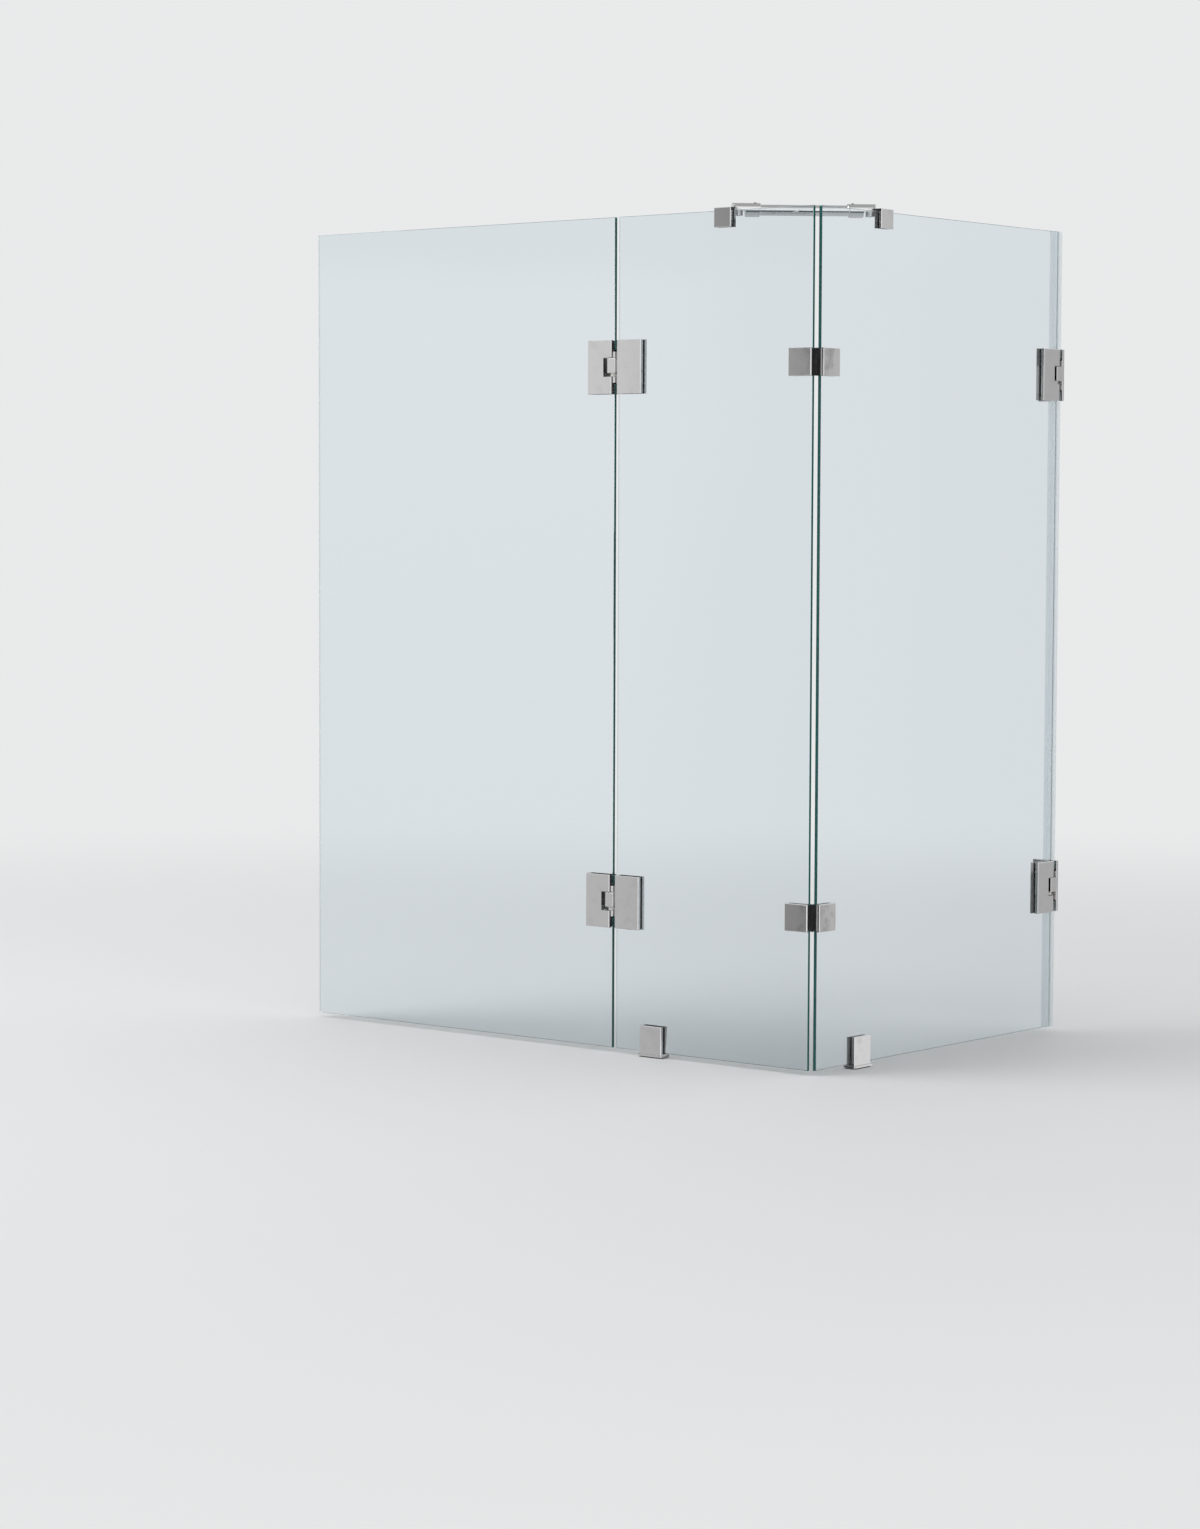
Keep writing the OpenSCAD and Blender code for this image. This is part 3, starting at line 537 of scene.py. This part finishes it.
class FinishSettings(bpy.types.PropertyGroup):
    """Colours and gloss of the screen's materials."""
    glass_tint: colour_property("Glass", "Light that comes through a pane", (0.865, 0.922, 0.948))
    edge_tint: colour_property(
        "Glass edge", "Lighter tone of the ground edges", (0.075, 0.34, 0.32))
    edge_deep: colour_property(
        "Deep glass edge", "Darker tone of the ground edges", (0.006, 0.085, 0.08))
    # Painted highlight: tone painted on the top edges, the wall edge and the left ends of the leaf
    # and the middle pane
    edge_highlight: colour_property("Painted glass edge highlight", "Tone of the pale edges", (0.55, 0.70, 0.68))
    # Painted highlight: tint of the clear surface at the left ends, through which the background
    # shows as a bright line
    end_highlight_tint: colour_property(
        "Glass end highlight", "Light that comes through a pane's left end", (0.95, 0.985, 0.98))
    edge_share: bpy.props.FloatProperty(
        name="Edge cover", description="Share of the edge that hides what is behind it",
        default=0.55, min=0, max=1, subtype="FACTOR")
    chrome: colour_property("Chrome", "Colour of the chromed fittings", (0.70, 0.69, 0.685))
    chrome_roughness: bpy.props.FloatProperty(
        name="Chrome roughness", description="Least roughness of the chrome",
        default=0.03, min=0, max=1, subtype="FACTOR")
    chrome_ease: bpy.props.FloatProperty(
        name="Chrome edges", description="Width of the rounding on the chromed edges",
        default=0.25 * MM, min=0, unit="LENGTH")
    seal_wall: bpy.props.FloatProperty(
        name="Seal wall", description="Wall of the clear seal",
        default=1 * MM, min=0.5 * MM, unit="LENGTH")
    steel: colour_property("Steel", "Colour of screws and pins", (0.55, 0.55, 0.55))
    black_steel: colour_property(
        "Blackened steel", "Colour of the brace's screws", (0.07, 0.07, 0.07))
    rubber: colour_property("Rubber", "Colour of gaskets and pads", (0.012, 0.012, 0.013))
    nylon: colour_property("Nylon", "Colour of the hinge bushes", (0.86, 0.86, 0.83))
    pvc: colour_property("Wall seal", "Tint of the clear seal", (0.86, 0.91, 0.93))


class StudioSettings(bpy.types.PropertyGroup):
    """Floor, background, light and camera."""
    background: colour_property(
        "Background", "Plain background and far floor", (0.815, 0.82, 0.825))
    floor: colour_property("Floor", "Plain pale floor", (0.80, 0.80, 0.80))
    key_power: bpy.props.FloatProperty(
        name="Key light", description="Power of the large soft light",
        default=70, min=0, unit="POWER")
    lens: bpy.props.FloatProperty(
        name="Lens", description="Focal length for a 36 mm long side", default=87.156, min=10)


# ---- Operators ----

class ScreenOperator:
    """What the operators share."""
    bl_options = {"REGISTER", "UNDO"}

    @property
    def finish(self):
        return bpy.context.scene.screen_finish

    @property
    def studio(self):
        return bpy.context.scene.screen_studio


class SCREEN_OT_glass(ScreenOperator, bpy.types.Operator):
    """Finish the three panes"""
    bl_idname = "screen.glass"
    bl_label = "Glass"

    def execute(self, context):
        for node in in_slot("glass"):
            assign(node, glass_finish(f"{node}_finish", self.finish, *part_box(node)))
        return {"FINISHED"}


class SCREEN_OT_chrome(ScreenOperator, bpy.types.Operator):
    """Chromed fittings with softened edges"""
    bl_idname = "screen.chrome"
    bl_label = "Chromed fittings"

    def execute(self, context):
        chrome = chrome_finish("chrome", self.finish.chrome, self.finish.chrome_roughness)
        for node in in_slot("chrome"):
            if node != "brace_tube" and not node.endswith("_sleeve"):
                eased(node, self.finish.chrome_ease, chrome)
        self.brace(chrome)
        for foot in ("middle_foot", "return_foot"):
            self.rounded(f"{foot}_cup", self.cup(f"{foot}_pad"), chrome)
        return {"FINISHED"}

    def rounded(self, name, skin, chrome, *nodes):
        """A chromed piece of the screen with its edges rounded."""
        made = piece(name, [skin], "screen", "chrome", chrome, *nodes, smooth=EDGE_DEGREES)
        round_edges(made, self.finish.chrome_ease)

    def cup(self, pad):
        """Shallow rim round the upper half of a pad: the outline of a block with round corners,
        drawn as a ring with an outer and an inner wall."""
        wall, clear, lap, round_r = 0.4 * MM, 1.7 * MM, 0.8 * MM, 2 * MM
        low, high = (np.array(c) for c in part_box(pad))
        middle, half = (low + high) / 2, (high - low) / 2
        quarter = np.linspace(0, math.pi / 2, 9)
        angle = np.concatenate([quarter + k * math.pi / 2 for k in range(4)])
        corner = np.repeat([(1, 1), (-1, 1), (-1, -1), (1, -1)], len(quarter), axis=0)
        straight = corner * (half[:2] - round_r) + middle[:2]
        return hoop(np.stack([
            lifted(straight + (round_r + grown) * on_circle(angle), z)
            for grown, z in pipe(-wall, wall, low[2] + clear, high[2] + lap)]))

    def brace(self, chrome):
        """The tube of the corner brace, and a sleeve at each end that turns on a swivel screw."""
        ends = [np.array(e) * MM for e in ((-175.8, -700.5, 1409.5), (-21.5, -552.2, 1409.5))]
        start, outer, inner = 15.5 * MM, 9 * MM, 7.5 * MM
        stop = np.linalg.norm(ends[1] - ends[0]) - start
        ring = on_circle(around(96))
        points, faces, uv = hoop(np.stack([
            np.column_stack([np.full(len(ring), x), radius * ring])
            for radius, x in pipe(inner, outer, start, stop)]))
        tube = self.laid(points, *ends), faces, uv
        piece("brace_tube_drawn", [tube], "screen", "chrome", chrome, "brace_tube")
        for node, way in (("middle_brace_sleeve", 1), ("return_brace_sleeve", -1)):
            points, faces, uv = self.sleeve()
            sleeve = self.laid(points, *ends[::way]), faces, uv
            self.rounded(f"{node}_turned", sleeve, chrome, node)

    def laid(self, points, start, end):
        """Points turned so that x runs level from start to end, with z up."""
        along = (end - start) / np.linalg.norm(end - start)
        return points @ np.array([along, [-along[1], along[0], 0], [0, 0, 1]]) + start

    def sleeve(self):
        """Sleeve from its nose, behind the swivel screw at x = 0, to its mouth, and back up its
        bore. Each ring is a circle, cut level under the tongue. Its half width is held within a
        standing cylinder round the screw by a soft minimum, the mean of the two less half the root
        of their squared difference and a squared ease. The rings of the barrel aren't held."""
        radius, nose, drop, tongue, mouth, ease, bore, bore_end, soft = (
            v * MM for v in (11.5, 12, 1.5, 12, 35.5, 0.8, 9.1, 13.5, 0.6))
        barrel, free, tiny = 2 * nose, 1.9 * nose, 1e-9
        turn = np.radians(np.linspace(5, 90, 18))
        rows = [(x, radius, -drop, w) for x, w in zip(-nose * np.cos(turn), nose * np.sin(turn))]
        rows += [(x, radius, -drop, nose + x) for x in np.linspace(0, tongue, 7)[1:]]
        rows += [(tongue, radius, ease - radius, barrel)]
        rows += [(x, r, -r, barrel) for x, r in (
            (tongue + ease, radius), (mouth - ease, radius), (mouth, radius - ease),
            (mouth, bore), (bore_end, bore))]
        x, r, lowest, width = (column[:, None] for column in np.array(rows).T)
        angle = around(96)
        c, s = np.cos(angle), np.sin(angle)
        level = r * s < lowest - tiny
        reach = np.where(level, np.sqrt(r ** 2 - lowest ** 2), r * abs(c))
        held = (reach + width - np.sqrt((reach - width) ** 2 + soft ** 2)) / 2
        held = np.where(width > free, reach, np.maximum(held, 0))
        share = c / np.sqrt(1 - (lowest / r) ** 2).clip(tiny)
        y = np.where(level, held * share.clip(-1, 1), np.sign(np.round(c, 9)) * held)
        z = np.where(level, lowest, r * s)
        return loft(np.stack([np.repeat(x, len(angle), axis=1), y, z], axis=-1))


class SCREEN_OT_screws(ScreenOperator, bpy.types.Operator):
    """Screws with hexagon sockets, and the hinge pins"""
    bl_idname = "screen.screws"
    bl_label = "Screws and pins"

    def execute(self, context):
        pin_ease, pin_roughness = 0.5 * MM, 0.12
        steel = turned_steel_finish("turned_steel", self.finish.steel)
        blackened = turned_steel_finish("blackened_steel", self.finish.black_steel)
        pin_steel = chrome_finish("pin_steel", self.finish.steel, pin_roughness)
        for node in in_slot("steel"):
            if node.endswith("_pin"):
                eased(node, pin_ease, pin_steel)
                continue
            skins = [self.screw(points) for points in node_solids(node)]
            finish = blackened if node == "brace_screws" else steel
            piece(f"{node}_turned", skins, BODY_OF[node], "steel", finish, node)
        return {"FINISHED"}

    def screw(self, points):
        """A screw where a CAD screw is: its axis is the side of its box that differs from the other
        two, and it points out where the corners of the socket, close to the axis, lie."""
        socket_r, most_shank_r = 1.7 * MM, 2.5 * MM
        low, high = boxed(points)
        size = high - low
        middle = (low + high) / 2
        axis = int(np.argmax(abs(size - np.median(size))))
        across = [k for k in range(3) if k != axis]
        off_axis = np.linalg.norm((points - middle)[:, across], axis=1)
        socket = points[off_axis < socket_r]
        out = np.zeros(3)
        out[axis] = np.sign((socket - middle)[:, axis].mean())
        head_r = np.median(size) / 2
        profile = screw_rings(head_r, min(head_r, most_shank_r), size[axis])
        rings, faces, uv = turned(profile, hexagon)
        return aimed(rings, middle + out * size[axis] / 2, out), faces, uv


class SCREEN_OT_rubber(ScreenOperator, bpy.types.Operator):
    """Rubber sheets in the clamps and pads under the rim clamps"""
    bl_idname = "screen.rubber"
    bl_label = "Rubber"

    def execute(self, context):
        sheet_ease = 0.2 * MM
        rubber = rubber_finish("rubber", self.finish.rubber)
        for node in in_slot("rubber"):
            if node.endswith("_pad"):
                piece(f"{node}_moulded", [self.pad(node)], BODY_OF[node], "rubber", rubber, node)
            else:
                eased(node, sheet_ease, rubber, segments=2)
        self.shade_lips_in_corners(rubber)
        return {"FINISHED"}

    def shade_lips_in_corners(self, rubber):
        """Channels of black rubber over the panes' ends inside the corner connectors, whose black
        is
        painted shade: it stands in for the shade and dark reflection between the plates. Each is an
        outline of its two legs and its floor, with the floor's corners cut, carried up the height
        of the rubber sheets."""
        outline = np.array([
            (0, 4), (0, 3), (1, 3), (1, -3), (0, -3), (0, -4),
            (1.6, -4), (2, -3.6), (2, 3.6), (1.6, 4)]) * MM
        half, connectors = 21.5 * MM, (258 * MM, 1158 * MM)
        skins = []
        for middle in connectors:
            for pane_end, out, side in (((-8, -722), (1, 0), (0, 1)), ((0, -714), (0, -1), (1, 0))):
                flat = np.array(pane_end) * MM + outline @ np.array((out, side))
                skins.append(prism(flat, middle - half, middle + half))
        # The black lips are painted shade in the corner between the plates
        piece("corner_painted_shade_lips", skins, "screen", "rubber", rubber)

    def pad(self, node):
        """Pad squeezed under a clamp. Its outline is the cosine and the sine of the angle, each to
        a power so low that the sides come out straight, with a round corner added. Going up, it
        is drawn in by a rounded rim at both ends and by two fine grooves round its side, and
        swollen by a sine of the height."""
        corner, rim_depth, groove_depth, swell = (v * MM for v in (2, 0.9, 0.35, 0.35))
        rim_share, groove_share, low_power = 0.12, 0.03, 0.35
        low, high = (np.array(c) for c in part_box(node))
        middle, half = ((low + high) / 2)[:2], ((high - low) / 2)[:2]
        t = np.linspace(0, 1, 33)
        end = np.clip(np.minimum(t, 1 - t) / rim_share, 0, 1)
        inset = rim_depth * (1 - np.sqrt(1 - (1 - end) ** 2))
        grooves = sum(np.exp(-((t - at) / groove_share) ** 2) for at in (0.36, 0.64))
        draw = inset + groove_depth * grooves + swell * (1 - np.sin(math.pi * t))
        ring = on_circle(around(128))
        oblong = np.sign(ring) * abs(ring) ** low_power
        outline = oblong * (half - corner) + corner * ring
        z = low[2] + (high[2] - low[2]) * t
        return loft(np.stack([
            lifted(outline * (1 - inward / half) + middle, level)
            for inward, level in zip(draw, z)]))


class SCREEN_OT_bushes(ScreenOperator, bpy.types.Operator):
    """Nylon bushes of the hinges"""
    bl_idname = "screen.bushes"
    bl_label = "Bushes"

    def execute(self, context):
        bush_ease = 0.15 * MM
        nylon = nylon_finish("nylon", self.finish.nylon)
        for node in in_slot("nylon"):
            eased(node, bush_ease, nylon)
        return {"FINISHED"}


class SCREEN_OT_seal(ScreenOperator, bpy.types.Operator):
    """Clear seal between the return pane and the wall"""
    bl_idname = "screen.seal"
    bl_label = "Wall seal"

    def execute(self, context):
        pvc = clear_pvc_finish("clear_pvc", self.finish.pvc)
        skins = [s for points in node_solids("wall_seal") for s in self.length(*boxed(points))]
        piece("wall_seal_drawn", skins, BODY_OF["wall_seal"], "clear_pvc", pvc, "wall_seal",
              smooth=50)
        return {"FINISHED"}

    def length(self, low, high):
        """One length of seal. The channel is a line down one leg, across and up the other, with a
        wall either side of it and round lips. The bulb is a pipe drawn in by a hair."""
        leg, hair = 20 * MM, 0.02 * MM
        wall = self.finish.seal_wall
        half = wall / 2
        cut = 0.4 * half
        leg_x = (high[0] - low[0] - wall) / 2
        inner, outer = leg_x - half, leg_x + half
        lip_y, pane_end = low[1] + half, low[1] + leg
        floor_y = pane_end + half
        tip = np.linspace(0, math.pi, 9)[1:-1]
        lip = np.column_stack([-half * np.cos(tip), lip_y - half * np.sin(tip)])
        channel = np.concatenate([
            [(-outer, lip_y)], lip - (leg_x, 0),
            [(-inner, lip_y), (-inner, pane_end), (inner, pane_end), (inner, lip_y)],
            lip + (leg_x, 0),
            [(outer, lip_y), (outer, floor_y), (outer - cut, floor_y + half),
             (-outer + cut, floor_y + half), (-outer, floor_y)]])
        bulb_r = (high[1] - pane_end) / 2
        bulb = np.stack([
            lifted(radius * on_circle(around(40)) + (0, high[1] - bulb_r), z)
            for radius, z in pipe(bulb_r - wall, bulb_r - hair, low[2], high[2])])
        return prism(channel, low[2], high[2]), hoop(bulb)


class SCREEN_OT_stage(ScreenOperator, bpy.types.Operator):
    """Set up the floor, the light and the camera"""
    bl_idname = "screen.stage"
    bl_label = "Studio"

    def execute(self, context):
        self.make_floor()
        self.make_world()
        self.make_lamp()
        self.make_camera()
        context.scene.view_settings.view_transform = "Standard"
        return {"FINISHED"}

    def make_floor(self):
        """A disc under the screen. Far out it gives way to the plain background, and gloss sees the
        room below instead of it."""
        radius, fade_start, fade_end = 14.0, 1.2, 4.5
        centre = (CAD_BOX[0] + CAD_BOX[1]) / 2
        rim = lifted(radius * on_circle(around(96)) + centre[:2], 0)
        mesh = bpy.data.meshes.new("floor")
        mesh.from_pydata(rim.tolist(), [], [list(range(len(rim)))])
        floor = bpy.data.objects.new("floor", mesh)
        bpy.context.collection.objects.link(floor)
        material, r = new_material("floor")
        x, y, _ = r.split(r.place())
        reach = ((x - centre.x) ** 2 + (y - centre.y) ** 2) ** 0.5
        lit = r.surface(
            Base_Color=rgba(self.studio.floor), Roughness=0.6, Specular_IOR_Level=0.2)
        plain = r.node("ShaderNodeEmission", None, {"Color": rgba(self.studio.background)})
        clear = r.node("ShaderNodeBsdfTransparent")
        glossy, seen, _ = self.rays(r)
        shown = r.mix(reach.step(fade_start, fade_end) * seen, lit, plain)
        r.output(r.mix(glossy, shown, clear))
        mesh.materials.append(material)

    def rays(self, r):
        """1 for a ray that has come off gloss, 1 for a ray of the eye, straight or through glass,
        and 1 for any ray out of glass. A ray through glass counts as glossy too, so the number of
        reflections tells the first two apart."""
        outs = r.node("ShaderNodeLightPath").socket.node.outputs
        through = Val(r, outs["Is Transmission Ray"])
        glossy = Val(r, outs["Is Glossy Ray"]) * (Val(r, outs["Glossy Depth"]) > 0.5)
        eye = Val(r, outs["Is Camera Ray"]).higher(through) * (1 - glossy)
        return glossy, eye, through

    def make_world(self):
        """Plain background to the eye. Gloss sees a photographer's room, told apart by bearing
        (clockwise from the wall's side) and height, both in degrees: white screens, grey screens
        opposite the panes' faces, and black flags that draw the fittings' side faces. Other light
        comes from an even sky."""
        room_tint, sky_strength = (0.98, 0.985, 1.0), 0.8
        world = bpy.data.worlds.new("studio")
        bpy.context.scene.world = world
        r = Recipe(world)
        x, y, z = r.split(r.node("ShaderNodeTexCoord", out="Generated"))
        bearing = x.math("ARCTAN2", y) * math.degrees(1)
        height = z.math("ARCSINE") * math.degrees(1)
        glossy, seen, through = self.rays(r)

        upright = height.band(-22, 24, 6)
        level_gaze = height.band(-11, 9, 2)
        high = height.step(3.4, 4.2)
        low = 1 - height.step(-7.8, -7.4)
        front = 0.43 + bearing.step(-143.9, -140.4) * 0.40
        front = front * (0.78 + height.step(-6, 2) * 0.22) * (1 - high * 0.36)
        back = 0.55 + bearing.step(33, 36) * 0.12 + high * 0.05 + low * 0.26
        three_lobes = ((bearing - 130) * math.radians(3)).math("COSINE")
        tone = 0.72 + three_lobes * 0.24
        white_screens = (
            (1.25, bearing.band(124, 131.5, 1.5) * height.band(-9, 40, 3)),
            (0.5, height.step(52, 66)),
            (0.62, 1 - height.step(-28, -14)))
        grey_screens = (
            (front, bearing.band(-143.88, -115, 0.04) * upright),
            (back, bearing.band(5, 36.06, 0.04) * upright))
        black_flags = (
            (0.05, bearing.band(-153, -143.92, 0.04) * level_gaze),
            (0.03, bearing.band(36.09, 37.85, 0.04) * level_gaze),
            (0.03, bearing.band(37.7, 38.45, 0.04) * height.band(-11, -7.3, 0.3)),
            (0.03, bearing.step(38.95, 39.1) * (1 - bearing.step(41, 44)) * level_gaze),
            (0.03, bearing.step(-42, -40) * (1 - bearing.step(-38.4, -37.6)) * level_gaze),
            (0.06, bearing.band(122, 133, 1) * height.band(-40, -9, 1.5) * through))
        for own, mask in (*white_screens, *grey_screens, *black_flags):
            tone = tone * (1 - mask) + own * mask
        room = r.node("ShaderNodeBackground", None, {
            "Color": rgba(room_tint), "Strength": glossy * tone + (1 - glossy) * sky_strength})
        plain = r.node("ShaderNodeBackground", None, {"Color": rgba(self.studio.background)})
        r.output(r.mix(seen, room, plain), "ShaderNodeOutputWorld")

    def make_lamp(self):
        """A large soft lamp above, to the left and in front."""
        lamp = bpy.data.lights.new("key", "AREA")
        lamp.shape = "RECTANGLE"
        lamp.size = 3.0
        lamp.size_y = 2.0
        lamp.energy = self.studio.key_power
        key = bpy.data.objects.new("key", lamp)
        bpy.context.collection.objects.link(key)
        place = Vector((-2.5, -3.0, 4.0))
        aim = (CAD_BOX[0] + CAD_BOX[1]) / 2
        key.location = place
        key.rotation_mode = "QUATERNION"
        key.rotation_quaternion = (aim - place).to_track_quat("-Z", "Y")

    def make_camera(self):
        """The camera that took the photograph, worked out from the panes' corners."""
        data = bpy.data.cameras.new("camera")
        data.lens = self.studio.lens
        data.sensor_width = 36
        camera = bpy.data.objects.new("camera", data)
        bpy.context.collection.objects.link(camera)
        turn, tilt, roll = (math.radians(a) for a in (39.4035, 90 - 3.8602, 0.2098))
        camera.matrix_world = (
            Matrix.Translation((3.52746, -5.56143, 0.91093))
            @ Matrix.Rotation(turn, 4, "Z")
            @ Matrix.Rotation(tilt, 4, "X")
            @ Matrix.Rotation(roll, 4, "Z"))
        bpy.context.scene.camera = camera


class SCREEN_PT_panel(bpy.types.Panel):
    """Lists the steps that dress the bath screen"""
    bl_idname = "SCREEN_PT_panel"
    bl_label = "Bath screen"
    bl_space_type = "VIEW_3D"
    bl_region_type = "UI"
    bl_category = "Bath screen"

    def draw(self, context):
        for settings in (context.scene.screen_finish, context.scene.screen_studio):
            for name in type(settings).__annotations__:
                self.layout.prop(settings, name)
        for step in STEPS:
            self.layout.operator(step.bl_idname)


STEPS = (SCREEN_OT_glass, SCREEN_OT_chrome, SCREEN_OT_screws, SCREEN_OT_rubber, SCREEN_OT_bushes,
         SCREEN_OT_seal, SCREEN_OT_stage)
CLASSES = (FinishSettings, StudioSettings, *STEPS, SCREEN_PT_panel)


def register():
    for cls in CLASSES:
        bpy.utils.register_class(cls)
    bpy.types.Scene.screen_finish = bpy.props.PointerProperty(type=FinishSettings)
    bpy.types.Scene.screen_studio = bpy.props.PointerProperty(type=StudioSettings)


def unregister():
    del bpy.types.Scene.screen_studio
    del bpy.types.Scene.screen_finish
    for cls in reversed(CLASSES):
        bpy.utils.unregister_class(cls)


def main():
    register()
    bpy.ops.screen.glass()
    bpy.ops.screen.chrome()
    bpy.ops.screen.screws()
    bpy.ops.screen.rubber()
    bpy.ops.screen.bushes()
    bpy.ops.screen.seal()
    bpy.ops.screen.stage()


if __name__ == "__main__":
    main()
